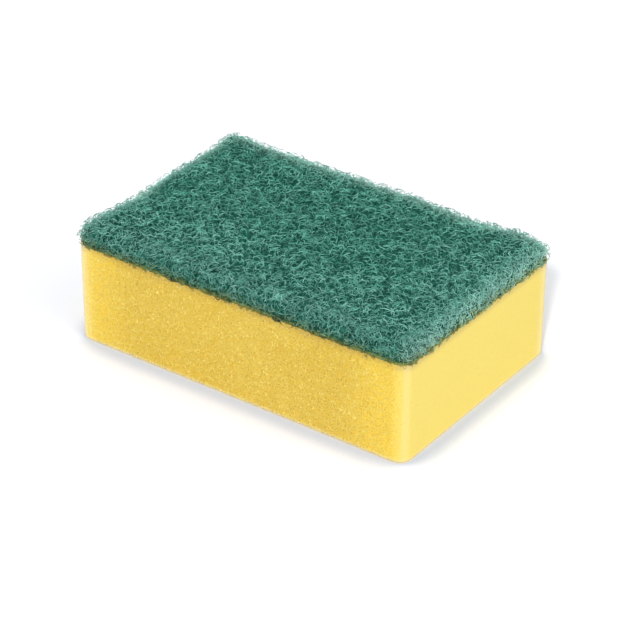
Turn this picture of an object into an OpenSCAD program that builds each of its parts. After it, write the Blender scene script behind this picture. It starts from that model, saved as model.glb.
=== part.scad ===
// Two-sided cleaning sponge: a soft foam block with a scouring pad glued on top.
// Origin: centre of the foam's flat underside. +X runs along the length, +Z up through the pad.
// All lengths are in millimetres.

/* [Foam block] */
// Length of the foam block
foam_l = 100; // [80:1:120]
// Width of the foam block
foam_w = 65; // [50:1:80]
// Height of the foam alone, without the pad
foam_h = 27.2; // [15:0.1:45]
// Radius of the four upright corners
foam_corner_r = 3.5; // [2:0.1:8]
// Radius round the edge of the underside
foam_foot_r = 0.9; // [0.3:0.1:1.8]

/* [Adhesive film] */
// Thickness of the adhesive between foam and pad
film_t = 0.35; // [0.2:0.05:1]
// How far the film stays back from the foam's edge
film_inset = 0.3; // [0.1:0.1:2]

/* [Scouring pad] */
// Thickness of the pad, up to the crests of its strands
pad_h = 5.2; // [4:0.1:12]
// How far the pad's edge stays back from the foam's edge
pad_inset = 0.1; // [0:0.1:2]
// Radius of the pad's four corners, seen from above
pad_corner_r = 3; // [2:0.1:8]
// Rounding of the pad's upper edge
pad_shoulder_r = 3.2; // [1:0.1:3.6]

/* [Fibre relief] */
// Distance between neighbouring tangles of strands
tangle_pitch = 4.4; // [3:0.1:9]
// Depth of the hollows between the strands
tangle_depth = 1.2; // [0.2:0.1:1.6]
// Slow unevenness of the pad's top
sway_depth = 0.35; // [0.1:0.05:0.8]
// How far the pad's cut edge wanders in and out
edge_wander = 0.45; // [0.1:0.05:0.8]
// Seed of the random web
web_seed = 7; // [1:1:99]

/* [Hidden] */
$fn = 64;

film_z = foam_h;
pad_z = film_z + film_t;
pad_l = foam_l - 2 * pad_inset;
pad_w = foam_w - 2 * pad_inset;

// Grid of the pad's top: close lines over the rounded shoulder, even lines between
grid_pitch = 1.35;
shoulder_steps = [0, 0.15, 0.5];
wall_levels = 3;
rim_w = 3;
sway_pitch = 13;
wander_pitch = 2.6;
// Step in the random table that keeps the wander across apart from the wander along
wander_apart = [31, 17];
// How much finer the second size of strand is, and how narrow a strand's crest is
knot_scale = 1.7;
crest_power = 3;
// Share of the relief that is lost at the foot of the rounded shoulder
shoulder_calm = 0.6;

// Table of random numbers, which repeats every web_cells cells each way
web_cells = 64;
web_strands = rands(-1, 1, web_cells * web_cells, web_seed);
web_knots = rands(-1, 1, web_cells * web_cells, web_seed + 100);
web_edge = rands(-1, 1, web_cells * web_cells, web_seed + 200);

// Smooth random value between -1 and 1 at a place, from one of the tables above
function wrap(i) = (i % web_cells + web_cells) % web_cells;
function cell(table, i, j) = table[wrap(i) * web_cells + wrap(j)];
function ease(f) = f * f * (3 - 2 * f);
function mix(a, b, f) = a + (b - a) * f;
function web(table, x, y) =
    let (
        i = floor(x),
        j = floor(y),
        f = ease(x - i),
        low = mix(cell(table, i, j), cell(table, i + 1, j), f),
        high = mix(cell(table, i, j + 1), cell(table, i + 1, j + 1), f)
    )
    mix(low, high, ease(y - j));

// A thin winding crest wherever the random value passes through zero: 1 on it, 0 far from it
function crest(table, x, y) = pow(1 - abs(web(table, x, y)), crest_power);

// Depth below the highest crest: hollows between two sizes of strand, and the slow unevenness
function tangle(x, y) =
    let (
        coarse = crest(web_strands, x / tangle_pitch, y / tangle_pitch),
        knot_pitch = tangle_pitch / knot_scale,
        fine = crest(web_knots, x / knot_pitch, y / knot_pitch)
    )
    tangle_depth * (1 - max(coarse, fine));
function sway(x, y) = sway_depth * (1 + web(web_strands, x / sway_pitch, y / sway_pitch)) / 2;

// Positions of the grid lines across one size of the pad, from one edge to the other
function lines(size) =
    let (
        half = size / 2,
        flat = half - pad_shoulder_r,
        count = ceil(2 * flat / grid_pitch),
        ends = [for (s = shoulder_steps) half - s * pad_shoulder_r]
    )
    concat(
        [for (e = ends) -e],
        [for (k = [0 : count]) -flat + 2 * flat * k / count],
        [for (k = [len(ends) - 1 : -1 : 0]) ends[k]]
    );

// Bends the grid's square corners to the pad's round ones
function corner_pull(p) =
    let (
        flat = [pad_l / 2 - pad_corner_r, pad_w / 2 - pad_corner_r],
        over = [for (k = [0, 1]) max(abs(p[k]) - flat[k], 0)],
        reach = norm(over),
        share = reach > 0 ? max(over) / reach : 0
    )
    [for (k = [0, 1]) sign(p[k]) * (min(abs(p[k]), flat[k]) + over[k] * share)];

// Distance in from the rounded outline
function rim_gap(p) =
    let (
        flat = [pad_l / 2 - pad_corner_r, pad_w / 2 - pad_corner_r],
        over = [for (k = [0, 1]) max(abs(p[k]) - flat[k], 0)],
        inside = min(pad_l / 2 - abs(p[0]), pad_w / 2 - abs(p[1]))
    )
    min(over) > 0 ? pad_corner_r - norm(over) : inside;

// Moves a point near the outline in or out: one random way at the glued underside, which turns
// evenly into another at the top
function wander(p, z) =
    let (
        half = [pad_l / 2, pad_w / 2],
        near = [for (k = [0, 1]) max(0, 1 - (half[k] - abs(p[k])) / rim_w)],
        at = p / wander_pitch,
        far = at + wander_apart,
        low = [web(web_edge, at[0], at[1]), web(web_edge, far[1], far[0])],
        high = [web(web_knots, at[0], at[1]), web(web_knots, far[1], far[0])],
        push = mix(low, high, z / pad_h)
    )
    [for (k = [0, 1]) p[k] + sign(p[k]) * near[k] * edge_wander * push[k]];

// Height of the pad's top at a point of the plan
function top_z(p) =
    let (
        in = max(pad_shoulder_r - rim_gap(p), 0),
        drop = pad_shoulder_r - sqrt(max(pow(pad_shoulder_r, 2) - in * in, 0)),
        shallow = 1 - shoulder_calm * drop / pad_shoulder_r
    )
    pad_h - drop - shallow * (tangle(p[0], p[1]) + sway(p[0], p[1]));

function top_point(p) =
    let (z = top_z(p), q = wander(p, z))
    [q[0], q[1], z];
function wall_point(p, z) =
    let (q = wander(p, z))
    [q[0], q[1], z];

// Rectangle with round corners, as circles joined by two crossed bars
module rounded_plan(l, w, r) {
    square([l - 2 * r, w], center = true);
    square([l, w - 2 * r], center = true);
    for (x = [-1, 1], y = [-1, 1])
        translate([x * (l / 2 - r), y * (w / 2 - r)])
            circle(r);
}

// Half of a section with a rounded lower outer corner, from the axis out to half
module foot_section(half, h, r) {
    square([half - r, h]);
    translate([0, r])
        square([half, h - r]);
    translate([half - r, r])
        intersection() {
            circle(r);
            translate([0, -r])
                square(r);
        }
}

// Bar of the foot slab: a section rounded at both lower corners, run along its length
module foot_bar(l, w, h, r) {
    rotate([90, 0, 90])
        translate([0, 0, -l / 2])
            linear_extrude(l) {
                foot_section(w / 2, h, r);
                mirror([1, 0])
                    foot_section(w / 2, h, r);
            }
}

module foam_block() {
    foot_h = 2 * foam_foot_r;
    flat_l = foam_l - 2 * foam_corner_r;
    flat_w = foam_w - 2 * foam_corner_r;
    color("#f0cb50") {
        translate([0, 0, foot_h])
            linear_extrude(foam_h - foot_h)
                rounded_plan(foam_l, foam_w, foam_corner_r);
        foot_bar(flat_l, foam_w, foot_h, foam_foot_r);
        rotate([0, 0, 90])
            foot_bar(flat_w, foam_l, foot_h, foam_foot_r);
        for (x = [-1, 1], y = [-1, 1])
            translate([x * flat_l / 2, y * flat_w / 2, 0])
                rotate_extrude()
                    foot_section(foam_corner_r, foot_h, foam_foot_r);
    }
}

module adhesive_film() {
    color("#5c5a2c")
        translate([0, 0, film_z])
            linear_extrude(film_t)
                rounded_plan(
                    foam_l - 2 * film_inset,
                    foam_w - 2 * film_inset,
                    foam_corner_r
                );
}

// Closed web of strands: a relief on top, uneven cut walls and a flat glued underside
module scouring_pad() {
    xs = lines(pad_l);
    ys = lines(pad_w);
    nx = len(xs) - 1;
    ny = len(ys) - 1;
    plan = [for (x = xs, y = ys) corner_pull([x, y])];
    rim = concat(
        [for (i = [0 : nx]) i * (ny + 1)],
        [for (j = [1 : ny]) nx * (ny + 1) + j],
        [for (i = [nx - 1 : -1 : 0]) i * (ny + 1) + ny],
        [for (j = [ny - 1 : -1 : 1]) j]
    );
    top = [for (p = plan) top_point(p)];
    wall = [
        for (k = [wall_levels - 1 : -1 : 0], i = rim)
            wall_point(plan[i], top[i][2] * k / wall_levels)
    ];
    around = len(rim);
    function below(level, k) =
        level == 0 ? rim[k % around] : len(top) + (level - 1) * around + k % around;
    top_faces = [
        for (i = [0 : nx - 1], j = [0 : ny - 1])
            let (a = i * (ny + 1) + j, b = a + ny + 1)
                each (i + j) % 2 == 0
                    ? [[a, a + 1, b + 1], [a, b + 1, b]]
                    : [[a, a + 1, b], [a + 1, b + 1, b]]
    ];
    wall_faces = [
        for (level = [0 : wall_levels - 1], k = [0 : around - 1])
            let (
                a = below(level, k),
                b = below(level, k + 1),
                c = below(level + 1, k),
                d = below(level + 1, k + 1)
            )
                each [[a, b, d], [a, d, c]]
    ];
    underside = [for (k = [0 : around - 1]) below(wall_levels, k)];
    color("#34806b")
        translate([0, 0, pad_z])
            polyhedron(
                points = concat(top, wall),
                faces = concat(top_faces, wall_faces, [underside])
            );
}

foam_block();
adhesive_film();
scouring_pad();
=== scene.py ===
import math

import bpy
import numpy as np
from mathutils import Matrix, Vector


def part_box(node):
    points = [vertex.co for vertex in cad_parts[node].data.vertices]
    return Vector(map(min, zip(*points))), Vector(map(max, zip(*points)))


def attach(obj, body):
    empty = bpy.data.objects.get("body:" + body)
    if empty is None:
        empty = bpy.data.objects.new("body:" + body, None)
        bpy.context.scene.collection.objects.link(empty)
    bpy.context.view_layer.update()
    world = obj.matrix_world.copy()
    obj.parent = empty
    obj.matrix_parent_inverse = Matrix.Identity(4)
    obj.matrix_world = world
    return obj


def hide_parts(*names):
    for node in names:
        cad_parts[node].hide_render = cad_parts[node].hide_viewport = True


# A two-sided cleaning sponge: a cut foam block, the adhesive that soaks out round its top edge,
# and a scouring pad made of thousands of curled, resin-coated strands.

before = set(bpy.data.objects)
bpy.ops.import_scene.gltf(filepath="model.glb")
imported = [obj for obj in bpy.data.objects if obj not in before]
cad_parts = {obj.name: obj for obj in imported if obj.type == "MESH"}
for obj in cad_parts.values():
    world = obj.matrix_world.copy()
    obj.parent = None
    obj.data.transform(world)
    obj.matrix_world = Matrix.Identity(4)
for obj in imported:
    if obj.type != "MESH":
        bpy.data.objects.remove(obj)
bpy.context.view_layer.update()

MM = 0.001

FOAM_LOW, FOAM_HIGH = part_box("foam_block")
FILM_LOW, FILM_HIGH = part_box("adhesive_film")
PAD_LOW, PAD_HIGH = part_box("scouring_pad")

FOAM_SIZE = FOAM_HIGH - FOAM_LOW
PAD_TOP = PAD_HIGH.z
PAD_BOTTOM = PAD_LOW.z
PAD_H = PAD_TOP - PAD_BOTTOM

FOAM_CORNER_R = 3.5 * MM
FOAM_FOOT_R = 0.9 * MM
PAD_CORNER_R = 3.0 * MM
PAD_SHOULDER_R = 3.2 * MM
PAD_INSET = 0.2 * MM

# Places where the pad's top is pressed lower, or raised: x, y, reach and depth
PAD_DENTS = (
    (-50 * MM, -9 * MM, 13 * MM, 1.1 * MM),
    (26 * MM, 33 * MM, 15 * MM, 0.8 * MM),
    (-45 * MM, 33 * MM, 14 * MM, -0.6 * MM),
    (50 * MM, 33 * MM, 9 * MM, 0.9 * MM),
)

# Linear colours. FOAM_BELOW_PAD_SHADE, FOAM_TURN_SHADE, WEB_GAP_SHADE and GRIT_DULL are multiplied onto another colour
FOAM_GOLD = (0.745, 0.497, 0.060, 1)
# Painted light towards the ends of the long faces
FOAM_LEMON = (0.930, 0.640, 0.076, 1)
# Random tone of the faces, and painted light on the end faces
FOAM_PALE = (0.920, 0.722, 0.178, 1)
# Painted highlights on the upright corners, and painted light along the bottom edge
FOAM_EDGE_LIGHT = (0.980, 0.765, 0.245, 1)
FOAM_RIM_LIGHT = (0.990, 0.805, 0.370, 1)
FOAM_STAIN = (0.130, 0.125, 0.030, 1)
# Painted shade on the foam just below the pad
FOAM_BELOW_PAD_SHADE = (0.76, 0.76, 1.0, 1)
# Painted shade across the turn of the front right corner
FOAM_TURN_SHADE = (0.88, 0.88, 0.88, 1)
FOAM_CREASE = (1.0, 0.775, 0.19, 1)
FOAM_PIT = (0.55, 0.33, 0.024, 1)
GLUE_DARK = (0.028, 0.070, 0.018, 1)
GLUE_OLIVE = (0.200, 0.260, 0.065, 1)
# Painted shade deep in the web
WEB_DEEP_SHADE = (0.006, 0.060, 0.042, 1)
WEB_SHADE = (0.024, 0.175, 0.125, 1)
WEB_STRAND = (0.045, 0.260, 0.190, 1)
# Painted shade between the strands
WEB_GAP_SHADE = (0.09, 0.24, 0.20, 1)
STRAND_DARK = (0.100, 0.385, 0.285, 1)
STRAND_MID = (0.172, 0.565, 0.432, 1)
STRAND_LIGHT = (0.320, 0.800, 0.655, 1)
# Painted light on the strands towards the front and the right end
STRAND_LIT_DARK = (0.140, 0.475, 0.365, 1)
STRAND_LIT_MID = (0.290, 0.740, 0.605, 1)
STRAND_LIT_LIGHT = (0.490, 0.950, 0.825, 1)
# Painted light along the back and end edges of the pad
STRAND_EDGE_LIGHT = (0.590, 0.950, 0.840, 1)
STRAND_SOAKED = (0.410, 0.470, 0.125, 1)
GRIT_DULL = (0.75, 0.75, 0.75, 1)
FLOOR_PLAIN = (0.80, 0.80, 0.80, 1)
FLOOR_BRIGHT = (0.98, 0.97, 0.99, 1)
# Painted shadow on the floor close to the foam
FLOOR_SHADE = (0.62, 0.66, 0.74, 1)
FLOOR_SHADE_DEEP = (0.54, 0.58, 0.67, 1)
# Painted reflection of the foam on the floor where the foam touches it
FLOOR_FOAM_REFLECTION = (0.80, 0.74, 0.60, 1)
GLOW_FAR = (0.55, 0.62, 0.75, 1)
GLOW_NEAR = (0.25, 0.43, 1.0, 1)
SKY = (0.95, 0.98, 1.0, 1)
WHITE = (1, 1, 1, 1)
BLACK = (0, 0, 0, 1)


# ---------------------------------------------------------------- node tree helper


class Tree:
    """A node tree under construction: each call adds one node and gives back what it puts out."""

    def __init__(self, tree):
        self.tree = tree

    def feed(self, socket, value):
        if isinstance(value, bpy.types.NodeSocket):
            self.tree.links.new(value, socket)
        else:
            socket.default_value = value

    def node(self, kind, inputs=None, **settings):
        made = self.tree.nodes.new(kind)
        for key, value in settings.items():
            setattr(made, key, value)
        for key, value in (inputs or {}).items():
            self.feed(made.inputs[key], value)
        return made

    def math(self, operation, *values):
        made = self.node("ShaderNodeMath", operation=operation)
        for socket, value in zip(made.inputs, values):
            self.feed(socket, value)
        return made.outputs[0]

    def add(self, a, b):
        return self.math("ADD", a, b)

    def less(self, a, b):
        return self.math("SUBTRACT", a, b)

    def times(self, a, b):
        return self.math("MULTIPLY", a, b)

    def over(self, a, b):
        return self.math("DIVIDE", a, b)

    def vector(self, operation, *values, **named):
        made = self.node("ShaderNodeVectorMath", operation=operation)
        for socket, value in zip(made.inputs, values):
            self.feed(socket, value)
        for key, value in named.items():
            self.feed(made.inputs[key], value)
        return made.outputs[0]

    def vector_length(self, vector):
        made = self.node("ShaderNodeVectorMath", {0: vector}, operation="LENGTH")
        return made.outputs["Value"]

    def scaled(self, vector, factor):
        return self.vector("SCALE", vector, Scale=factor)

    def join(self, x, y, z):
        return self.node("ShaderNodeCombineXYZ", {"X": x, "Y": y, "Z": z}).outputs[0]

    def split(self, vector):
        return self.node("ShaderNodeSeparateXYZ", {"Vector": vector}).outputs

    def remap(self, value, low, high, to_low=0.0, to_high=1.0, smooth=True):
        """Value between low and high, turned to a value between to_low and to_high, and held there."""
        made = self.node(
            "ShaderNodeMapRange",
            {"Value": value, 1: low, 2: high, 3: to_low, 4: to_high},
            interpolation_type="SMOOTHSTEP" if smooth else "LINEAR",
        )
        return made.outputs[0]

    def noise(self, vector, scale, detail=2.0):
        made = self.node(
            "ShaderNodeTexNoise", {"Vector": vector, "Scale": scale, "Detail": detail}
        )
        return made.outputs[0]

    def swing(self, vector, scale, detail=1.0):
        """Noise that swings evenly about zero, mostly between -1 and 1."""
        return self.times(self.less(self.noise(vector, scale, detail), 0.5), 3.0)


def new_group(name, kind, inputs, outputs):
    """An empty node group of this kind with named sockets: its tree, group input and group output."""
    tree = bpy.data.node_groups.new(name, kind)
    types = {
        "float": "NodeSocketFloat",
        "int": "NodeSocketInt",
        "vector": "NodeSocketVector",
        "colour": "NodeSocketColor",
        "geometry": "NodeSocketGeometry",
        "material": "NodeSocketMaterial",
    }
    for side, sockets in (("INPUT", inputs), ("OUTPUT", outputs)):
        for label, type_name in sockets.items():
            tree.interface.new_socket(label, in_out=side, socket_type=types[type_name])
    t = Tree(tree)
    return t, t.node("NodeGroupInput").outputs, t.node("NodeGroupOutput").inputs


def socket_id(tree, label):
    for item in tree.interface.items_tree:
        if item.item_type == "SOCKET" and item.in_out == "INPUT" and item.name == label:
            return item.identifier
    raise KeyError(label)


def made_by_tree(name, base, tree, values):
    """Runs a geometry tree on a base mesh, and gives back an object that holds the plain result."""
    piece = bpy.data.objects.new(name, base)
    bpy.context.scene.collection.objects.link(piece)
    modifier = piece.modifiers.new(name, "NODES")
    modifier.node_group = tree
    for label, value in values.items():
        modifier[socket_id(tree, label)] = value
    depsgraph = bpy.context.evaluated_depsgraph_get()
    result = bpy.data.meshes.new_from_object(
        piece.evaluated_get(depsgraph), preserve_all_data_layers=True, depsgraph=depsgraph
    )
    piece.modifiers.remove(modifier)
    piece.data = result
    result.name = name
    bpy.data.meshes.remove(base)
    return piece


# ---------------------------------------------------------------- meshes that start as a lattice


def lattice_box(low, high, pitch, plain_faces=(), border=6):
    """Surface of a box as even quads. On plain_faces, given as (axis, 0 or 1), only a border of quads
    is made, and one face fills what is left."""
    counts = [max(1, round((high[k] - low[k]) / pitch)) for k in range(3)]
    quads, fills = [], []
    for axis in range(3):
        u, v = (axis + 1) % 3, (axis + 2) % 3
        a, b = np.meshgrid(np.arange(counts[u]), np.arange(counts[v]), indexing="ij")
        a, b = a.ravel(), b.ravel()
        for side in (0, 1):
            keep = np.ones(len(a), bool)
            if (axis, side) in plain_faces:
                inside_a = (a >= border) & (a < counts[u] - border)
                inside_b = (b >= border) & (b < counts[v] - border)
                keep = ~(inside_a & inside_b)
                fills.append((axis, side))
            corners = [(0, 0), (1, 0), (1, 1), (0, 1)]
            quad = np.zeros((keep.sum(), 4, 3), int)
            for k, (p, q) in enumerate(corners if side else corners[::-1]):
                quad[:, k, axis] = counts[axis] * side
                quad[:, k, u] = a[keep] + p
                quad[:, k, v] = b[keep] + q
            quads.append(quad)
    places, index = np.unique(
        np.concatenate(quads).reshape(-1, 3), axis=0, return_inverse=True
    )
    faces = index.reshape(-1, 4).tolist()
    number = {tuple(p): i for i, p in enumerate(places.tolist())}
    for axis, side in fills:
        u, v = (axis + 1) % 3, (axis + 2) % 3
        first_u, last_u = border, counts[u] - border
        first_v, last_v = border, counts[v] - border
        loop = (
            [(i, first_v) for i in range(first_u, last_u)]
            + [(last_u, j) for j in range(first_v, last_v)]
            + [(i, last_v) for i in range(last_u, first_u, -1)]
            + [(first_u, j) for j in range(last_v, first_v, -1)]
        )
        fill = []
        for i, j in loop if side else loop[::-1]:
            place = [0, 0, 0]
            place[axis], place[u], place[v] = counts[axis] * side, i, j
            fill.append(number[tuple(place)])
        faces.append(fill)
    low, high = np.array(low), np.array(high)
    return low + (high - low) * places / np.array(counts), faces


def disc_pull(over):
    """Moves points of a square corner, given as their reach into it, onto a round one."""
    length = np.linalg.norm(over, axis=1)
    share = np.divide(over.max(axis=1), length, out=np.ones(len(over)), where=length > 0)
    return over * share[:, None]


def rounded(points, half, corner_r, edge_r, edge_z, upwards):
    """Rounds a lattice box in plan by corner_r, and the edge of its face at edge_z by edge_r."""
    out = points.copy()
    flat = np.array(half) - corner_r
    plan, sign = np.abs(out[:, :2]), np.sign(out[:, :2])
    over = np.maximum(plan - flat, 0)
    pulled = disc_pull(over)
    out[:, :2] = sign * (np.minimum(plan, flat) + pulled)
    reach = np.linalg.norm(pulled, axis=1)
    in_corner = (pulled > 0).all(axis=1)
    gap = np.where(
        in_corner, corner_r - reach, (np.array(half) - np.abs(out[:, :2])).min(axis=1)
    )
    outward = np.where(
        in_corner[:, None],
        sign * pulled / np.maximum(reach, 1e-9)[:, None],
        sign * (np.array(half) - np.abs(out[:, :2]) <= gap[:, None] + 1e-9),
    )
    height = (edge_z - out[:, 2]) * (1 if upwards else -1)
    square = np.stack([edge_r - gap, edge_r - height], axis=1)
    near = (square > 0).all(axis=1)
    bent = disc_pull(square[near])
    out[near, :2] += outward[near] * (bent[:, 0] - square[near, 0])[:, None]
    out[near, 2] += (bent[:, 1] - square[near, 1]) * (1 if upwards else -1)
    return out


def mesh_of(name, points, faces):
    mesh = bpy.data.meshes.new(name)
    mesh.from_pydata(points.tolist(), [], faces)
    mesh.update()
    return mesh


# ---------------------------------------------------------------- geometry trees


GEOMETRY_OUT = {"Geometry": "geometry"}


def finished(t, geometry, material):
    """The end of each tree: smooth faces, real geometry and its material."""
    smooth = t.node("GeometryNodeSetShadeSmooth", {"Geometry": geometry}).outputs[0]
    whole = t.node("GeometryNodeRealizeInstances", {"Geometry": smooth}).outputs[0]
    return t.node("GeometryNodeSetMaterial", {"Geometry": whole, "Material": material}).outputs[0]


def end_share(t, place):
    """1 on the two short end faces of the foam, 0 on its long ones, even between them."""
    along = t.math("ABSOLUTE", t.split(place)[0])
    return t.remap(along, FOAM_SIZE.x / 2 - 4.7 * MM, FOAM_SIZE.x / 2 - 0.6 * MM)


def foam_surface_tree():
    """Gives a smooth block the skin of cut foam: a slow bow, opened cells and a few larger pores."""
    t, given, out = new_group(
        "foam_surface",
        "GeometryNodeTree",
        {
            "Geometry": "geometry",
            "Bow depth": "float",
            "Bow pitch": "float",
            "Cell depth": "float",
            "Cell pitch": "float",
            "Pore depth": "float",
            "Pore pitch": "float",
            "Top": "float",
            "Material": "material",
        },
        {"Geometry": "geometry"},
    )
    place = t.node("GeometryNodeInputPosition").outputs[0]
    normal = t.node("GeometryNodeInputNormal").outputs[0]
    bow = t.times(t.swing(place, t.over(1.0, given["Bow pitch"])), given["Bow depth"])
    cells = t.node(
        "ShaderNodeTexVoronoi",
        {"Vector": place, "Scale": t.over(1.0, given["Cell pitch"])},
        feature="F1",
    ).outputs["Distance"]
    cell_dip = t.times(t.remap(cells, 0.7, 0.15), given["Cell depth"])
    calm = t.less(1.0, t.times(end_share(t, place), 0.7))
    pores = t.node(
        "ShaderNodeTexVoronoi",
        {"Vector": place, "Scale": t.over(1.0, given["Pore pitch"])},
        feature="F1",
    ).outputs["Distance"]
    pore_dip = t.times(t.remap(pores, 0.16, 0.05), given["Pore depth"])
    # The glued top stays flat, and the underside only gets hollows, so that the block still stands
    # on it
    not_below = t.remap(t.split(normal)[2], -0.8, -0.3)
    under_glue = t.remap(t.less(given["Top"], t.split(place)[2]), 0.0, 0.4 * MM)
    dips = t.times(t.add(cell_dip, pore_dip), calm)
    height = t.less(t.times(bow, not_below), dips)
    moved = t.node(
        "GeometryNodeSetPosition",
        {
            "Geometry": given["Geometry"],
            "Offset": t.scaled(normal, t.times(height, under_glue)),
        },
    ).outputs[0]
    t.feed(out["Geometry"], finished(t, moved, given["Material"]))
    return t.tree


def glue_bead_tree():
    """Makes the rim of a thin film lumpy: it stands out here and there, and runs down a little."""
    t, given, out = new_group(
        "glue_bead",
        "GeometryNodeTree",
        {
            "Geometry": "geometry",
            "Lump": "float",
            "Lump pitch": "float",
            "Run": "float",
            "Middle": "float",
            "Material": "material",
        },
        {"Geometry": "geometry"},
    )
    place = t.node("GeometryNodeInputPosition").outputs[0]
    normal = t.node("GeometryNodeInputNormal").outputs[0]
    slow = t.swing(place, t.over(0.3, given["Lump pitch"]))
    quick = t.swing(place, t.over(1.0, given["Lump pitch"]), detail=3.0)
    push = t.times(t.add(t.times(slow, 0.5), t.times(quick, 0.6)), given["Lump"])
    parts = t.split(normal)
    outward = t.join(parts[0], parts[1], 0.0)
    on_rim = t.remap(t.vector_length(outward), 0.3, 0.8)
    low_side = t.math("LESS_THAN", t.split(place)[2], given["Middle"])
    run = t.times(t.remap(t.add(slow, quick), -0.1, 0.9), given["Run"])
    down = t.join(0.0, 0.0, t.times(t.times(run, -1.0), t.times(on_rim, low_side)))
    moved = t.node(
        "GeometryNodeSetPosition",
        {
            "Geometry": given["Geometry"],
            "Offset": t.vector("ADD", t.scaled(outward, push), down),
        },
    ).outputs[0]
    t.feed(out["Geometry"], finished(t, moved, given["Material"]))
    return t.tree


def web_relief_group():
    """Shape of the pad, shared by its core and its strands. Inset is the distance in from the cut
    edge. Shoulder, Hollow and Sway are depths below the highest crest at this place."""
    t, given, out = new_group(
        "web_relief",
        "GeometryNodeTree",
        {"Place": "vector", "Half length": "float", "Half width": "float"},
        {"Inset": "float", "Shoulder": "float", "Hollow": "float", "Sway": "float"},
    )
    x, y, _ = t.split(given["Place"])
    reach_x = t.less(t.math("ABSOLUTE", x), t.less(given["Half length"], PAD_CORNER_R))
    reach_y = t.less(t.math("ABSOLUTE", y), t.less(given["Half width"], PAD_CORNER_R))
    over = t.join(t.math("MAXIMUM", reach_x, 0.0), t.math("MAXIMUM", reach_y, 0.0), 0.0)
    inner = t.math("MINIMUM", t.math("MAXIMUM", reach_x, reach_y), 0.0)
    inset = t.less(PAD_CORNER_R, t.add(t.vector_length(over), inner))
    t.feed(out["Inset"], inset)

    into_edge = t.math("MAXIMUM", t.less(PAD_SHOULDER_R, inset), 0.0)
    into_edge = t.math("MINIMUM", into_edge, PAD_SHOULDER_R)
    square = t.less(PAD_SHOULDER_R**2, t.times(into_edge, into_edge))
    t.feed(out["Shoulder"], t.less(PAD_SHOULDER_R, t.math("SQRT", square)))

    clump = t.noise(given["Place"], 1 / (3.4 * MM), detail=2.0)
    t.feed(out["Hollow"], t.times(t.remap(clump, 0.56, 0.36), 0.3 * MM))
    level = t.join(x, y, 0.0)
    sway = t.times(t.noise(level, 1 / (15 * MM), detail=0.0), 0.4 * MM)
    for dent_x, dent_y, dent_reach, dent_depth in PAD_DENTS:
        away = t.vector("SUBTRACT", level, (dent_x, dent_y, 0.0))
        near = t.remap(t.vector_length(away), dent_reach, 0.2 * dent_reach)
        sway = t.add(sway, t.times(near, dent_depth))
    t.feed(out["Sway"], sway)
    return t.tree


def web_core_tree(relief):
    """The inner mass of the pad, dark with painted shade from its material: a rough body that stays
    below and inside the strands.
    """
    t, given, out = new_group(
        "web_core",
        "GeometryNodeTree",
        {
            "Geometry": "geometry",
            "Half length": "float",
            "Half width": "float",
            "Cover": "float",
            "Roughness": "float",
            "Material": "material",
        },
        {"Geometry": "geometry"},
    )
    place = t.node("GeometryNodeInputPosition").outputs[0]
    normal = t.node("GeometryNodeInputNormal").outputs[0]
    x, y, z = t.split(place)
    shape = t.node("GeometryNodeGroup", node_tree=relief)
    for label in ("Half length", "Half width"):
        t.feed(shape.inputs[label], given[label])
    t.feed(shape.inputs["Place"], t.join(x, y, 0.0))
    share = t.over(t.less(z, PAD_BOTTOM), PAD_H)
    relief_drop = t.add(shape.outputs["Hollow"], shape.outputs["Sway"])
    relief_drop = t.add(relief_drop, shape.outputs["Shoulder"])
    lowered = t.times(t.add(relief_drop, given["Cover"]), share)
    rough = t.swing(place, 1 / (1.3 * MM), detail=2.0)
    rough = t.times(t.times(rough, given["Roughness"]), t.remap(share, 0.0, 0.1))
    down = t.join(0.0, 0.0, t.times(lowered, -1.0))
    moved = t.node(
        "GeometryNodeSetPosition",
        {
            "Geometry": given["Geometry"],
            "Offset": t.vector("ADD", down, t.scaled(normal, rough)),
        },
    ).outputs[0]
    t.feed(out["Geometry"], finished(t, moved, given["Material"]))
    return t.tree


STRAND_INPUTS = {
    "Geometry": "geometry",
    "Strands": "int",
    "Points": "int",
    "Seed": "int",
    "Step": "float",
    "Curl": "float",
    "Bend": "float",
    "Tilt": "float",
    "Arch": "float",
    "Thickness": "float",
    "Half length": "float",
    "Half width": "float",
    "Shallowest": "float",
    "Deepest": "float",
    "Loose share": "float",
    "Loose rise": "float",
    "Material": "material",
}


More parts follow.
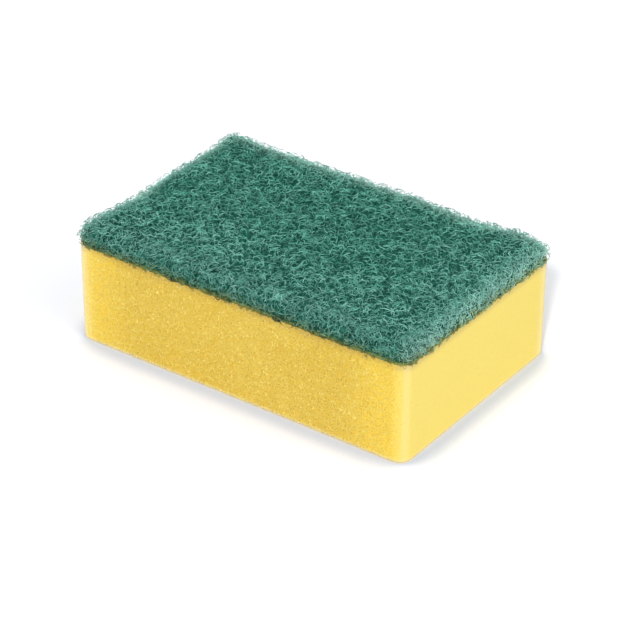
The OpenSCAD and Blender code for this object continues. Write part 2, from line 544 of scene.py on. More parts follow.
class Walk:
    """Random walk of each strand: it goes forward in even steps along a heading that curls one way
    and wavers, and it arches up and down. It gives the way come from the start, and how deep the
    strand lies there."""

    def __init__(self, t, given):
        self.t, self.given = t, given
        index = t.node("GeometryNodeInputIndex").outputs[0]
        self.strand = t.math("FLOOR", t.over(t.add(index, 0.5), given["Points"]))
        self.step = t.less(index, t.times(self.strand, given["Points"]))
        length = t.times(self.step, given["Step"])
        curl = t.times(t.times(self.chance(-1.0, 1.0, 5), given["Curl"]), length)
        waver = t.times(self.waver(), given["Bend"])
        heading = t.add(self.chance(0.0, 2 * math.pi, 6), t.add(curl, waver))
        ahead = t.join(t.math("COSINE", heading), t.math("SINE", heading), 0.0)
        walked = t.node(
            "GeometryNodeAccumulateField",
            {"Group ID": self.strand},
            data_type="FLOAT_VECTOR",
            domain="POINT",
        )
        t.feed(walked.inputs[0], t.scaled(ahead, given["Step"]))
        self.come = walked.outputs["Trailing"]
        self.across, self.along, _ = t.split(self.come)

        downhill = self.chance(0.0, 2 * math.pi, 7)
        slope = t.times(self.chance(0.0, 1.0, 8), given["Tilt"])
        dip = t.add(
            t.times(self.across, t.math("COSINE", downhill)),
            t.times(self.along, t.math("SINE", downhill)),
        )
        depth = t.add(
            self.chance(given["Shallowest"], given["Deepest"], 9), t.times(dip, slope)
        )
        quickness = self.chance(0.6, 1.3, 15)
        swing = t.add(self.chance(0.0, 2 * math.pi, 14), t.times(self.step, quickness))
        depth = t.add(depth, t.times(t.math("SINE", swing), given["Arch"]))
        loose = t.math("LESS_THAN", self.chance(0.0, 1.0, 10), given["Loose share"])
        rise = t.times(t.times(loose, given["Loose rise"]), self.chance(0.3, 1.0, 11))
        highest = t.less(t.less(given["Shallowest"], t.times(given["Arch"], 0.8)), rise)
        depth = t.less(depth, t.times(rise, 1.6))
        self.depth = t.math("MAXIMUM", depth, highest)

    def chance(self, low, high, salt):
        """A random value of the whole strand, another one for each salt."""
        t = self.t
        made = t.node(
            "FunctionNodeRandomValue",
            {"ID": self.strand, "Seed": t.add(self.given["Seed"], salt)},
            data_type="FLOAT",
        )
        t.feed(made.inputs[2], low)
        t.feed(made.inputs[3], high)
        return made.outputs[1]

    def waver(self):
        """A smooth swing along the strand: each strand and each seed cuts its own line through the
        noise."""
        t = self.t
        along = t.times(self.step, 0.42)
        which = t.times(self.strand, 7.31)
        return t.swing(t.join(along, which, t.times(self.given["Seed"], 3.7)), 1.0, detail=0.0)


def kept(t, geometry, name, value, data_type="FLOAT", domain="POINT"):
    """Stores a value on the geometry under a name, for later nodes and for the material."""
    made = t.node(
        "GeometryNodeStoreNamedAttribute",
        {"Geometry": geometry, "Name": name},
        data_type=data_type,
        domain=domain,
    )
    t.feed(made.inputs["Value"], value)
    return made.outputs[0]


def named(t, name):
    return t.node("GeometryNodeInputNamedAttribute", {"Name": name}, data_type="FLOAT").outputs[0]


def strand_tubes(t, given, walk, place, hollow, cut):
    """Tubes along the walks: points at place, without those where cut is true. Each tube keeps its
    own tint, how deep it lies, and a tile of its own on the map."""
    cloud = t.node(
        "GeometryNodePoints", {"Count": t.times(given["Strands"], given["Points"])}
    ).outputs[0]
    cloud = t.node(
        "GeometryNodeSetPosition", {"Geometry": cloud, "Position": place}
    ).outputs[0]
    cloud = kept(t, cloud, "strand", walk.strand)
    cloud = kept(t, cloud, "step", walk.step)
    cloud = kept(t, cloud, "tint", walk.chance(0.0, 1.0, 12))
    # How deep the strand lies, with what the caller adds for hollows and shade: the strand material
    # paints shade from it
    cloud = kept(t, cloud, "depth", t.over(t.add(walk.depth, hollow), 2 * MM))
    cloud = kept(t, cloud, "cut", cut)
    cloud = t.node(
        "GeometryNodeDeleteGeometry",
        {"Geometry": cloud, "Selection": t.math("GREATER_THAN", named(t, "cut"), 0.5)},
        domain="POINT",
    ).outputs[0]
    curves = t.node(
        "GeometryNodePointsToCurves",
        {"Points": cloud, "Curve Group ID": named(t, "strand"), "Weight": named(t, "step")},
    ).outputs[0]
    count = t.node("GeometryNodeSplineLength").outputs["Point Count"]
    curves = t.node(
        "GeometryNodeDeleteGeometry",
        {"Geometry": curves, "Selection": t.math("LESS_THAN", count, 2.5)},
        domain="CURVE",
    ).outputs[0]
    size = t.node(
        "FunctionNodeRandomValue",
        {"ID": named(t, "strand"), "Seed": t.add(given["Seed"], 13)},
        data_type="FLOAT",
    )
    t.feed(size.inputs[2], t.times(given["Thickness"], 0.36))
    t.feed(size.inputs[3], t.times(given["Thickness"], 0.6))
    here = t.node("GeometryNodeInputPosition").outputs[0]
    lumps = t.remap(t.noise(here, 1 / (0.7 * MM), detail=0.0), 0.3, 0.7, 0.8, 1.25)
    ring = t.node(
        "GeometryNodeCurvePrimitiveCircle", {"Resolution": 3, "Radius": 1.0}, mode="RADIUS"
    ).outputs[0]
    ring = kept(t, ring, "around", t.node("GeometryNodeInputIndex").outputs[0])
    tubes = t.node(
        "GeometryNodeCurveToMesh",
        {
            "Curve": curves,
            "Profile Curve": ring,
            "Scale": t.times(size.outputs[1], lumps),
            "Fill Caps": True,
        },
    ).outputs[0]

    side = t.math("CEIL", t.math("SQRT", given["Strands"]))
    row = t.math("FLOOR", t.over(t.add(named(t, "strand"), 0.5), side))
    column = t.less(named(t, "strand"), t.times(row, side))
    along = t.over(named(t, "step"), given["Points"])
    across = t.over(named(t, "around"), 3.0)
    u = t.over(t.add(column, t.add(0.12, t.times(along, 0.8))), side)
    v = t.over(t.add(row, t.add(0.12, t.times(across, 0.8))), side)
    tubes = kept(t, tubes, "OFBake", t.join(u, v, 0.0), "FLOAT2", "CORNER")
    for spare in ("strand", "step", "cut", "around"):
        tubes = t.node(
            "GeometryNodeRemoveAttribute", {"Geometry": tubes, "Name": spare}
        ).outputs[0]
    return finished(t, tubes, given["Material"])


def top_strand_tree(relief):
    """Strands that lie over the top of the pad, and end where its shoulder turns down."""
    t, given, out = new_group("top_strands", "GeometryNodeTree", STRAND_INPUTS, GEOMETRY_OUT)
    walk = Walk(t, given)
    start = t.join(
        t.times(walk.chance(-1.0, 1.0, 1), given["Half length"]),
        t.times(walk.chance(-1.0, 1.0, 2), given["Half width"]),
        0.0,
    )
    plan = t.vector("ADD", start, walk.come)
    shape = t.node("GeometryNodeGroup", node_tree=relief)
    t.feed(shape.inputs["Place"], plan)
    t.feed(shape.inputs["Half length"], given["Half length"])
    t.feed(shape.inputs["Half width"], given["Half width"])
    drop = t.add(shape.outputs["Shoulder"], t.add(shape.outputs["Hollow"], shape.outputs["Sway"]))
    height = t.less(PAD_H, t.add(drop, walk.depth))
    height = t.math("MAXIMUM", height, 0.1 * MM)
    x, y, _ = t.split(plan)
    place = t.join(x, y, t.add(height, PAD_BOTTOM))
    cut = t.math("LESS_THAN", shape.outputs["Inset"], walk.chance(0.2 * MM, 1.6 * MM, 3))
    t.feed(out["Geometry"], strand_tubes(t, given, walk, place, shape.outputs["Hollow"], cut))
    return t.tree


def wall_strand_tree(relief):
    """Strands that lie on the cut wall of the pad and over its shoulder. A walk sideways goes round
    the outline, and a walk upwards goes up the wall, round the shoulder and on over the top."""
    t, given, out = new_group(
        "wall_strands",
        "GeometryNodeTree",
        STRAND_INPUTS | {"Hang": "float", "Reach": "float", "Tuft": "float"},
        GEOMETRY_OUT,
    )
    walk = Walk(t, given)
    outline = t.node(
        "GeometryNodeCurvePrimitiveQuadrilateral",
        {
            "Width": t.times(given["Half length"], 2.0),
            "Height": t.times(given["Half width"], 2.0),
        },
    ).outputs[0]
    outline = t.node(
        "GeometryNodeFilletCurve",
        {"Curve": outline, "Count": 8, "Radius": PAD_CORNER_R},
        mode="POLY",
    ).outputs[0]
    girth = t.node("GeometryNodeCurveLength", {"Curve": outline}).outputs[0]
    lap = t.math("FRACT", t.add(walk.chance(0.0, 1.0, 1), t.over(walk.across, girth)))
    on_outline = t.node(
        "GeometryNodeSampleCurve", {"Curves": outline, "Factor": lap}, mode="FACTOR"
    ).outputs
    foot = on_outline["Position"]
    outward = t.vector("CROSS_PRODUCT", on_outline["Tangent"], (0.0, 0.0, 1.0))
    way_out = t.node(
        "ShaderNodeVectorMath", {0: outward, 1: foot}, operation="DOT_PRODUCT"
    ).outputs["Value"]
    outward = t.scaled(outward, t.math("SIGN", way_out))

    climbed = t.add(
        walk.chance(t.times(given["Hang"], -1.0), t.add(PAD_H, given["Reach"]), 2), walk.along
    )
    wall_h = PAD_H - PAD_SHOULDER_R
    turned = t.over(t.less(climbed, wall_h), PAD_SHOULDER_R)
    turned = t.math("MINIMUM", t.math("MAXIMUM", turned, 0.0), math.pi / 2)
    flat = t.math("MAXIMUM", t.less(climbed, wall_h + PAD_SHOULDER_R * math.pi / 2), 0.0)
    cosine, sine = t.math("COSINE", turned), t.math("SINE", turned)
    height = t.add(t.math("MINIMUM", climbed, wall_h), t.times(sine, PAD_SHOULDER_R))
    inset = t.add(t.times(t.less(1.0, cosine), PAD_SHOULDER_R), flat)

    fx, fy, _ = t.split(foot)
    shape = t.node("GeometryNodeGroup", node_tree=relief)
    t.feed(shape.inputs["Place"], t.join(fx, fy, t.times(height, -1.0)))
    t.feed(shape.inputs["Half length"], given["Half length"])
    t.feed(shape.inputs["Half width"], given["Half width"])
    hollow = t.times(shape.outputs["Hollow"], 0.7)
    tuft = t.swing(t.join(fx, fy, t.times(inset, -1.0)), 1 / (2.2 * MM))
    tuft = t.times(t.math("MAXIMUM", tuft, 0.0), given["Tuft"])
    depth = t.less(t.add(walk.depth, hollow), tuft)
    wander = t.add(
        t.times(t.swing(foot, 1 / (8 * MM)), 0.4 * MM),
        t.times(t.swing(foot, 1 / (2.4 * MM)), 0.15 * MM),
    )
    inset = t.add(t.add(inset, t.times(depth, cosine)), t.math("MAXIMUM", wander, -0.3 * MM))
    # Below the seam a strand hangs in front of the foam
    hanging = t.remap(height, 0.3 * MM, -0.1 * MM)
    inset = t.less(t.times(inset, t.less(1.0, hanging)), t.times(hanging, 0.28 * MM))
    share = t.over(height, PAD_H)
    height = t.less(height, t.add(t.times(depth, sine), t.times(shape.outputs["Sway"], share)))
    plan = t.vector("SUBTRACT", foot, t.scaled(outward, inset))
    x, y, _ = t.split(plan)
    place = t.join(x, y, t.add(height, PAD_BOTTOM))
    ragged = t.add(t.swing(foot, 1 / (6 * MM)), t.swing(foot, 1 / (1.9 * MM), detail=2.0))
    ragged = t.remap(ragged, -0.8, 1.0, -0.75, 0.9)
    lowest = t.times(ragged, t.times(given["Hang"], -1.0))
    cut = t.math("LESS_THAN", climbed, lowest)
    # The foot of the wall lies in the shade of the strands above it
    shaded = t.add(hollow, t.remap(climbed, 1.0 * MM, 0.0, 0.0, 0.24 * MM))
    t.feed(out["Geometry"], strand_tubes(t, given, walk, place, shaded, cut))
    return t.tree


# ---------------------------------------------------------------- materials


def two_tone_group():
    """Colour that drifts slowly between two tones, with a finer grain on top of the drift."""
    t, given, out = new_group(
        "two_tone",
        "ShaderNodeTree",
        {
            "Place": "vector",
            "First": "colour",
            "Second": "colour",
            "Drift pitch": "float",
            "Grain pitch": "float",
            "Grain share": "float",
        },
        {"Colour": "colour"},
    )
    drift = t.noise(given["Place"], t.over(1.0, given["Drift pitch"]), detail=2.0)
    grain = t.noise(given["Place"], t.over(1.0, given["Grain pitch"]), detail=1.0)
    both = t.add(
        t.times(drift, t.less(1.0, given["Grain share"])), t.times(grain, given["Grain share"])
    )
    share = t.remap(both, 0.35, 0.65)
    t.feed(out["Colour"], mixed_colour(t, share, given["First"], given["Second"]))
    return t.tree


def new_material(name):
    """A material, its tree, its shader's inputs and the object coordinates."""
    material = bpy.data.materials.new(name)
    material.use_nodes = True
    t = Tree(material.node_tree)
    shader = material.node_tree.nodes["Principled BSDF"]
    place = t.node("ShaderNodeTexCoord").outputs["Object"]
    return material, t, shader.inputs, place


def mixed_colour(t, share, first, second, blend="MIX"):
    made = t.node("ShaderNodeMix", {0: share}, data_type="RGBA", blend_type=blend)
    t.feed(made.inputs[6], first)
    t.feed(made.inputs[7], second)
    return made.outputs[2]


def toned(t, two_tone, place, first, second, drift, grain, share):
    """Colour from the two_tone group, with the pitch of its drift and of its grain."""
    made = t.node("ShaderNodeGroup", node_tree=two_tone)
    for label, value in (
        ("Place", place),
        ("First", first),
        ("Second", second),
        ("Drift pitch", drift),
        ("Grain pitch", grain),
        ("Grain share", share),
    ):
        t.feed(made.inputs[label], value)
    return made.outputs["Colour"]


def foam_material(two_tone):
    """Yellow open-cell foam, crossed by fine winding pale creases and dotted with small golden pits.
    The end faces were cut with a finer blade, so they are smoother, and they are painted paler as
    painted light; the long faces are painted lemon towards their ends, also painted light. The upright
    corners carry a painted highlight and are palest: two in a wide band, the back left one in a
    fainter band, and the front right one, which is most in the light, only along its turn, where
    painted shade darkens it a little. The bottom edge is painted paler as painted light, and the top
    is painted darker below the pad as painted shade."""
    material, t, shader, place = new_material("yellow_foam")
    x, y, z = t.split(place)
    reach_x = t.less(t.math("ABSOLUTE", x), FOAM_SIZE.x / 2 - FOAM_CORNER_R)
    reach_y = t.less(t.math("ABSOLUTE", y), FOAM_SIZE.y / 2 - FOAM_CORNER_R)
    reach_x = t.over(t.math("MAXIMUM", reach_x, 0.0), FOAM_CORNER_R)
    reach_y = t.over(t.math("MAXIMUM", reach_y, 0.0), FOAM_CORNER_R)
    turn = t.times(t.times(reach_x, reach_x), reach_y)
    lit = t.times(t.math("GREATER_THAN", x, 0.0), t.math("LESS_THAN", y, 0.0))
    # The painted highlight on the upright corners begins on the flat faces, some way before the corner
    # turns
    out_x = t.remap(t.math("ABSOLUTE", x), FOAM_SIZE.x / 2 - 7.5 * MM, FOAM_SIZE.x / 2)
    out_x = t.math("POWER", out_x, 1.5)
    out_y = t.remap(t.math("ABSOLUTE", y), FOAM_SIZE.y / 2 - 7 * MM, FOAM_SIZE.y / 2 - 2.5 * MM)
    out_y = t.math("POWER", out_y, 1.5)
    rim = t.math(
        "MAXIMUM",
        t.times(out_x, t.remap(reach_y, 0.0, 0.33)),
        t.times(out_y, t.remap(reach_x, 0.0, 0.33)),
    )
    hidden = t.times(t.math("LESS_THAN", x, 0.0), t.math("GREATER_THAN", y, 0.0))
    rim = t.times(rim, t.less(1.0, t.math("MAXIMUM", lit, t.times(hidden, 0.5))))
    ridge_light = t.times(t.remap(turn, 0.24, 0.37), t.less(1.0, t.times(hidden, 0.4)))
    ridge_light = t.math("MAXIMUM", ridge_light, rim)
    end = end_share(t, place)
    rougher = t.less(1.0, t.times(t.math("MAXIMUM", end, ridge_light), 0.8))

    base = toned(t, two_tone, place, FOAM_GOLD, FOAM_PALE, 14 * MM, 1.1 * MM, 0.35)
    base = mixed_colour(t, 0.2, FOAM_GOLD, base)
    # Painted light: the long faces are painted lemon towards their ends
    brighter = t.remap(t.math("ABSOLUTE", x), 0.3 * FOAM_SIZE.x, 0.46 * FOAM_SIZE.x)
    base = mixed_colour(t, brighter, base, FOAM_LEMON)
    # Painted light: the end faces are painted paler
    base = mixed_colour(t, end, base, FOAM_PALE)
    # Painted highlight on the upright corners, less pale on the front right one, which the lamps light
    # most
    base = mixed_colour(t, ridge_light, base, mixed_colour(t, lit, FOAM_RIM_LIGHT, FOAM_EDGE_LIGHT))
    inwards = t.math(
        "MINIMUM",
        t.less(FOAM_SIZE.x / 2, t.math("ABSOLUTE", x)),
        t.less(FOAM_SIZE.y / 2, t.math("ABSOLUTE", y)),
    )
    # Painted light: the foam is painted paler along its bottom edge
    foot = t.math("POWER", t.remap(z, 2.0 * MM, 0.4 * MM), 2.0)
    foot = t.times(foot, t.remap(inwards, 3.0 * MM, 0.8 * MM))
    base = mixed_colour(t, foot, base, FOAM_RIM_LIGHT)
    # Painted shade across the turn of the front right corner, which the lamps light most
    turned = t.times(t.times(t.times(reach_x, reach_y), 2.0), lit)
    base = mixed_colour(t, turned, base, FOAM_TURN_SHADE, "MULTIPLY")
    grain = t.noise(place, 1 / (0.45 * MM), detail=1.0)
    pits = t.times(t.remap(grain, 0.5, 0.28), t.less(0.85, t.times(brighter, 0.35)))
    skin = mixed_colour(t, t.times(pits, rougher), base, FOAM_PIT)
    # The creases follow the lines where a noise passes through its middle value
    creases = t.noise(t.vector("ADD", place, (0.3, 0.1, 0.2)), 1 / (0.8 * MM), detail=1.0)
    creases = t.remap(t.math("ABSOLUTE", t.less(creases, 0.5)), 0.055, 0.0)
    creases = t.times(creases, rougher)
    skin = mixed_colour(t, creases, skin, FOAM_CREASE)
    # Painted shade darkens the foam just below the pad. Adhesive that soaked down from the glued top,
    # further in some places than in others, stains its top edge
    below = t.less(FOAM_HIGH.z, z)
    below_pad_shade = t.math("POWER", t.remap(below, 3.2 * MM, 0.0), 2.0)
    skin = mixed_colour(t, below_pad_shade, skin, FOAM_BELOW_PAD_SHADE, "MULTIPLY")
    soaked = t.remap(t.noise(place, 1 / (1.1 * MM), detail=2.0), 0.35, 0.75, -0.4 * MM, 0.8 * MM)
    stain = t.times(t.remap(t.less(below, soaked), 0.2 * MM, -0.1 * MM), 0.7)
    t.feed(shader["Base Color"], mixed_colour(t, stain, skin, FOAM_STAIN))
    t.feed(shader["Roughness"], 0.85)
    height = t.add(t.times(grain, 2.0), creases)
    bump = t.node(
        "ShaderNodeBump",
        {"Height": t.times(height, rougher), "Distance": 0.13 * MM, "Strength": 0.9},
    ).outputs[0]
    t.feed(shader["Normal"], bump)
    shader["Subsurface Weight"].default_value = 0.2
    shader["Subsurface Radius"].default_value = (1.0, 0.7, 0.3)
    shader["Subsurface Scale"].default_value = 1.3 * MM
    shader["Specular IOR Level"].default_value = 0.25
    return material


def glue_material(two_tone):
    """Dark olive adhesive, blotched where it soaked into the foam."""
    material, t, shader, place = new_material("soaked_adhesive")
    colour = toned(t, two_tone, place, GLUE_DARK, GLUE_OLIVE, 2.4 * MM, 0.6 * MM, 0.4)
    t.feed(shader["Base Color"], colour)
    t.feed(shader["Roughness"], t.remap(t.noise(place, 1 / (0.8 * MM)), 0.3, 0.7, 0.45, 0.75))
    height = t.noise(place, 1 / (0.4 * MM), detail=3.0)
    bump = t.node(
        "ShaderNodeBump", {"Height": height, "Distance": 0.1 * MM, "Strength": 0.6}
    ).outputs[0]
    t.feed(shader["Normal"], bump)
    return material


def core_material(two_tone):
    """The inner strands of the web as one mass, painted deep green as painted shade, crossed by faint
    strands.
    """
    material, t, shader, place = new_material("web_depth_shade")
    ground = toned(t, two_tone, place, WEB_DEEP_SHADE, WEB_SHADE, 3.0 * MM, 0.5 * MM, 0.6)
    net = t.node(
        "ShaderNodeTexVoronoi",
        {"Vector": place, "Scale": 1 / (0.8 * MM)},
        feature="DISTANCE_TO_EDGE",
    ).outputs["Distance"]
    net = t.remap(net, 0.16, 0.04)
    t.feed(shader["Base Color"], mixed_colour(t, net, ground, WEB_STRAND))
    t.feed(shader["Roughness"], 0.9)
    height = t.add(t.noise(place, 1 / (0.5 * MM), detail=3.0), net)
    bump = t.node(
        "ShaderNodeBump", {"Height": height, "Distance": 0.3 * MM, "Strength": 0.8}
    ).outputs[0]
    t.feed(shader["Normal"], bump)
    shader["Specular IOR Level"].default_value = 0.1
    return material


def strand_material(two_tone):
    """Green strand under resin and fine abrasive: most strands are of a middle shade and a few are
    pale, with a fine grit. A strand is painted darker where it goes down between the others, as
    painted shade, and darker where it stands out from them. Painted light makes the strands paler
    towards the front and the right end and along the back and end edges, painted shade darkens them
    near the front, and they are olive where adhesive reached them."""
    material, t, shader, place = new_material("green_strand")
    tint = t.node("ShaderNodeAttribute", attribute_name="tint").outputs["Fac"]
    depth = t.node("ShaderNodeAttribute", attribute_name="depth").outputs["Fac"]
    x, y, z = t.split(place)
    # Painted light: strands are painted paler towards the front and the right end, which face the
    # lamps
    lit_side = t.times(t.remap(y, 0.0, -0.5 * FOAM_SIZE.y), 0.8)
    lit_side = t.math("MAXIMUM", lit_side, t.times(t.remap(x, 15 * MM, 0.5 * FOAM_SIZE.x), 0.6))
    dark = mixed_colour(t, lit_side, STRAND_DARK, STRAND_LIT_DARK)
    middle = mixed_colour(t, lit_side, STRAND_MID, STRAND_LIT_MID)
    light = mixed_colour(t, lit_side, STRAND_LIGHT, STRAND_LIT_LIGHT)
    own = mixed_colour(t, t.remap(tint, 0.0, 0.55), dark, middle)
    own = mixed_colour(t, t.remap(tint, 0.62, 1.0), own, light)
    half_x, half_y = FOAM_SIZE.x / 2, FOAM_SIZE.y / 2
    # Painted light: strands are painted paler along the back edge and the right end, more low on the
    # end wall
    from_back = t.math("MINIMUM", t.less(half_y, y), t.times(t.add(x, half_x), 1.4))
    back_edge = t.times(t.remap(from_back, 7.5 * MM, 0.5 * MM), 0.78)
    end_edge = t.remap(x, half_x - 4 * MM, half_x)
    low_down = t.remap(z, PAD_BOTTOM + 5 * MM, PAD_BOTTOM + 2 * MM)
    end_edge = t.times(end_edge, t.add(0.38, t.times(low_down, 0.4)))
    edge = t.math("MAXIMUM", back_edge, end_edge)
    own = mixed_colour(t, edge, own, STRAND_EDGE_LIGHT)
    raised = t.times(t.remap(depth, -0.10, -0.25), 0.6)
    own = mixed_colour(t, raised, own, STRAND_DARK)
    soaked = t.remap(t.noise(place, 1 / (1.2 * MM)), 0.40, 0.60, 0.2, 1.0)
    soaked = t.times(t.remap(z, PAD_BOTTOM + 3.2 * MM, PAD_BOTTOM - 0.2 * MM), soaked)
    own = mixed_colour(t, soaked, own, STRAND_SOAKED)
    # Painted shade near the front: in a band behind the front edge, on the edge itself and more
    # between its strands, and at the foot of the front wall
    from_front = t.add(y, half_y)
    dip = t.less(t.remap(from_front, 11 * MM, 5 * MM), t.remap(from_front, 3.5 * MM, 1 * MM))
    front_foot = t.times(low_down, t.remap(from_front, 2 * MM, 0.5 * MM))
    front_shade = t.add(t.times(dip, 0.1), t.times(front_foot, 0.14))
    under_edge = t.add(
        t.times(t.remap(from_front, 7 * MM, 3 * MM), 0.17),
        t.times(t.remap(from_front, 3 * MM, 0.0), 0.12),
    )
    grit = toned(t, two_tone, place, GRIT_DULL, WHITE, 6 * MM, 0.3 * MM, 0.5)
    own = mixed_colour(t, 1.0, own, grit, "MULTIPLY")
    # Painted shade: strands that lie deeper are painted darker, less so along the painted-light edges
    sunk_shade = t.times(t.remap(depth, 0.04, 0.46), t.less(1.0, t.times(edge, 0.6)))
    shade = t.add(front_shade, t.times(under_edge, t.add(0.4, t.times(sunk_shade, 1.5))))
    own = mixed_colour(t, shade, own, BLACK)
    t.feed(shader["Base Color"], mixed_colour(t, sunk_shade, own, WEB_GAP_SHADE, "MULTIPLY"))
    t.feed(shader["Roughness"], t.remap(t.noise(place, 1 / (0.5 * MM)), 0.3, 0.7, 0.4, 0.6))
    shader["Specular IOR Level"].default_value = 0.1
    return material


# ---------------------------------------------------------------- pieces


def settle(piece):
    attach(piece, "root")


def make_foam(material):
    points, faces = lattice_box(FOAM_LOW, FOAM_HIGH, 0.52 * MM, plain_faces=[(2, 1)], border=7)
    half = (FOAM_SIZE.x / 2, FOAM_SIZE.y / 2)
    points = rounded(points, half, FOAM_CORNER_R, FOAM_FOOT_R, FOAM_LOW.z, upwards=False)
    foam = made_by_tree(
        "cut_foam",
        mesh_of("cut_foam_base", points, faces),
        foam_surface_tree(),
        {
            "Bow depth": 0.12 * MM,
            "Bow pitch": 22 * MM,
            "Cell depth": 0.16 * MM,
            "Cell pitch": 1.15 * MM,
            "Pore depth": 0.35 * MM,
            "Pore pitch": 4.2 * MM,
            "Top": FOAM_HIGH.z,
            "Material": material,
        },
    )
    settle(foam)
    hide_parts("foam_block")


def make_glue(material):
    # The adhesive soaks a little way up into the web
    low = FILM_LOW
    high = FILM_HIGH + Vector((0, 0, 0.15 * MM))
    points, faces = lattice_box(low, high, 0.28 * MM, plain_faces=[(2, 0), (2, 1)], border=5)
    half = (high.x, high.y)
    points = rounded(points, half, FOAM_CORNER_R, 0.1 * MM, high.z, upwards=True)
    glue = made_by_tree(
        "adhesive_line",
        mesh_of("adhesive_line_base", points, faces),
        glue_bead_tree(),
        {
            "Lump": 0.25 * MM,
            "Lump pitch": 1.1 * MM,
            "Run": 0.15 * MM,
            "Middle": (low.z + high.z) / 2,
            "Material": material,
        },
    )
    settle(glue)
    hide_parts("adhesive_film")


def make_core(material, relief, half):
    wall_cover = 0.8 * MM
    inner = (half[0] - wall_cover, half[1] - wall_cover)
    low = (-inner[0], -inner[1], PAD_BOTTOM)
    high = (inner[0], inner[1], PAD_TOP)
    points, faces = lattice_box(low, high, 0.62 * MM, plain_faces=[(2, 0)], border=4)
    points = rounded(points, inner, PAD_CORNER_R, 0.5 * MM, PAD_TOP, upwards=True)
    core = made_by_tree(
        "web_core",
        mesh_of("web_core_base", points, faces),
        web_core_tree(relief),
        {
            "Half length": half[0],
            "Half width": half[1],
            "Cover": 1.1 * MM,
            "Roughness": 0.3 * MM,
            "Material": material,
        },
    )
    settle(core)
    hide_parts("scouring_pad")


def make_strands(name, tree, material, half, **values):
    """One piece full of strands. Each value goes to the tree's input of the same name."""
    settings = {key.replace("_", " ").capitalize(): value for key, value in values.items()}
    settings |= {"Half length": half[0], "Half width": half[1], "Material": material}
    base = bpy.data.meshes.new(name + "_base")
    settle(made_by_tree(name, base, tree, settings))


# ---------------------------------------------------------------- camera, lights and floor


def make_camera():
    """Long lens from the front right and above, turned by a small roll."""
    azimuth = math.radians(35.29)
    elevation = math.radians(31.03)
    roll = math.radians(0.62)
    target = Vector((8.39 * MM, -8.46 * MM, 14.05 * MM))
    distance = 600 * MM
    back = Vector(
        (
            math.sin(azimuth) * math.cos(elevation),
            -math.cos(azimuth) * math.cos(elevation),
            math.sin(elevation),
        )
    )
    level = Vector((math.cos(azimuth), math.sin(azimuth), 0))
    rise = back.cross(level)
    right = level * math.cos(roll) + rise * math.sin(roll)
    up = rise * math.cos(roll) - level * math.sin(roll)
    data = bpy.data.cameras.new("camera")
    data.lens = 136.0
    data.clip_start = 0.01
    camera = bpy.data.objects.new("camera", data)
    rows = zip(right, up, back, target + back * distance)
    camera.matrix_world = Matrix([list(row) for row in rows] + [[0, 0, 0, 1]])
    bpy.context.scene.collection.objects.link(camera)
    bpy.context.scene.camera = camera


def make_lamp(name, place, size, power, colour):
    """A round lamp that points at the origin."""
    data = bpy.data.lights.new(name, "AREA")
    data.shape = "DISK"
    data.size = size
    data.energy = power
    data.color = colour
    lamp = bpy.data.objects.new(name, data)
    lamp.location = place
    lamp.rotation_euler = (-Vector(place)).to_track_quat("-Z", "Y").to_euler()
    bpy.context.scene.collection.objects.link(lamp)


def make_world():
    """White to the camera, and a dimmer, faintly blue sky for what it lights."""
    world = bpy.data.worlds.new("studio")
    bpy.context.scene.world = world
    world.use_nodes = True
    t = Tree(world.node_tree)
    background = world.node_tree.nodes["Background"]
    seen = t.node("ShaderNodeLightPath").outputs
    bare = t.math("MAXIMUM", seen["Is Camera Ray"], seen["Is Transmission Ray"])
    t.feed(background.inputs["Color"], mixed_colour(t, bare, SKY, WHITE))
    t.feed(background.inputs["Strength"], t.remap(bare, 0.0, 1.0, 0.68, 1.0, smooth=False))


def make_floor():
    """Pale studio floor. To the camera it glows a little, so that it is white outside the shadow,
    and a painted shadow dims it close to what stands on it."""
    reach = 3.0
    corners = [(-reach, -reach, 0), (reach, -reach, 0), (reach, reach, 0), (-reach, reach, 0)]
    mesh = bpy.data.meshes.new("floor")
    mesh.from_pydata(corners, [], [(0, 1, 2, 3)])
    floor = bpy.data.objects.new("floor", mesh)
    bpy.context.scene.collection.objects.link(floor)
    material, t, shader, place = new_material("studio_floor")
    shader["Roughness"].default_value = 0.9
    shader["Specular IOR Level"].default_value = 0.0
    seen = t.node("ShaderNodeLightPath").outputs
    bare = t.math("MAXIMUM", seen["Is Camera Ray"], seen["Is Glossy Ray"])
    open_share = t.node(
        "ShaderNodeAmbientOcclusion", {"Distance": 12 * MM}, samples=16
    ).outputs["AO"]
    # Painted shadow: the shade is a little blue, against the yellow light that the foam throws on it,
    # deeper on the side that the brighter end of the foam faces, and warm with a painted reflection of
    # the foam where the foam touches the floor
    east = t.remap(t.split(place)[0], FOAM_SIZE.x / 2 - 4 * MM, FOAM_SIZE.x / 2 + 2 * MM)
    shade = mixed_colour(t, east, FLOOR_SHADE, FLOOR_SHADE_DEEP)
    foam_reflection = t.remap(open_share, 0.51, 0.44)
    shade = mixed_colour(t, foam_reflection, shade, FLOOR_FOAM_REFLECTION)
    seen_colour = mixed_colour(t, t.remap(open_share, 0.55, 0.86), shade, FLOOR_BRIGHT)
    t.feed(shader["Base Color"], mixed_colour(t, bare, FLOOR_PLAIN, seen_colour))
    nearer = t.remap(t.split(place)[1], 0.5 * FOAM_SIZE.y, -0.5 * FOAM_SIZE.y)
    t.feed(shader["Emission Color"], mixed_colour(t, nearer, GLOW_FAR, GLOW_NEAR))
    t.feed(shader["Emission Strength"], t.times(bare, 0.13))
    mesh.materials.append(material)


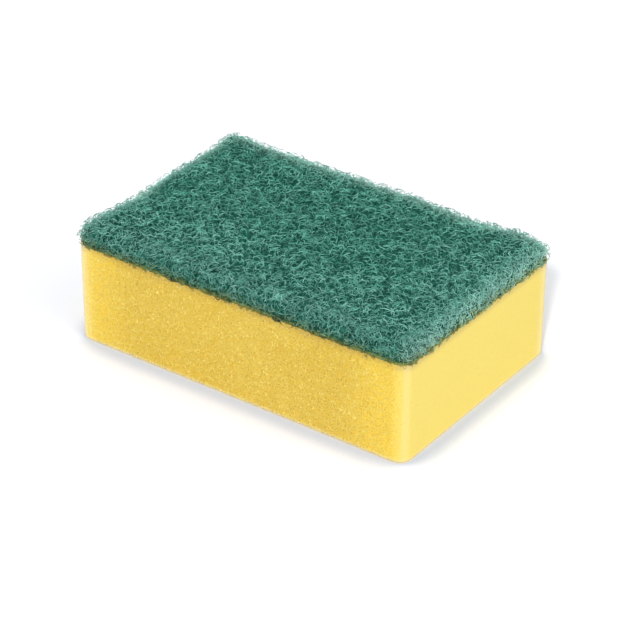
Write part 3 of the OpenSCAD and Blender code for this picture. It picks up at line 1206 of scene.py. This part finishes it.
# ---------------------------------------------------------------- the object


make_camera()
make_world()
make_lamp("key", (1.25, -2.62, 2.12), 0.3, 66.0, (1.0, 1.0, 1.0))
make_lamp("side", (2.97, -0.27, 2.49), 3.0, 25.0, (1.0, 0.99, 0.97))
make_floor()

bpy.context.scene.view_settings.view_transform = "Standard"

tones = two_tone_group()
make_foam(foam_material(tones))
make_glue(glue_material(tones))

pad_half = (FOAM_SIZE.x / 2 - PAD_INSET, FOAM_SIZE.y / 2 - PAD_INSET)
pad_relief = web_relief_group()
make_core(core_material(tones), pad_relief, pad_half)
top_strands = top_strand_tree(pad_relief)
wall_strands = wall_strand_tree(pad_relief)
green = strand_material(tones)
make_strands(
    "strands_under", top_strands, green, pad_half,
    strands=2000, points=7, seed=11, step=0.8 * MM, curl=400.0, bend=0.8, tilt=0.3, arch=0.2 * MM,
    thickness=0.26 * MM, shallowest=0.9 * MM, deepest=1.8 * MM,
)
for letter, seed in (("a", 23), ("b", 37), ("c", 41)):
    make_strands(
        "strands_top_" + letter, top_strands, green, pad_half,
        strands=4500, points=7, seed=seed, step=0.5 * MM, curl=300.0, bend=1.1, tilt=0.9,
        arch=0.5 * MM, thickness=0.16 * MM, shallowest=0.35 * MM, deepest=0.9 * MM,
        loose_share=0.05, loose_rise=0.25 * MM,
    )
make_strands(
    "strands_wall", wall_strands, green, pad_half,
    strands=4600, points=7, seed=53, step=0.5 * MM, curl=300.0, bend=1.1, tilt=0.6,
    arch=0.35 * MM, thickness=0.16 * MM, shallowest=0.25 * MM, deepest=0.85 * MM,
    loose_share=0.03, loose_rise=0.35 * MM, hang=1.45 * MM, reach=1.2 * MM, tuft=0.35 * MM,
)
make_strands(
    "strands_loose", wall_strands, green, pad_half,
    strands=4000, points=4, seed=71, step=0.42 * MM, curl=200.0, bend=0.7, tilt=2.0,
    arch=0.1 * MM, thickness=0.16 * MM, shallowest=-0.75 * MM, deepest=0.3 * MM,
    hang=0.0, reach=2.5 * MM, tuft=0.5 * MM,
)
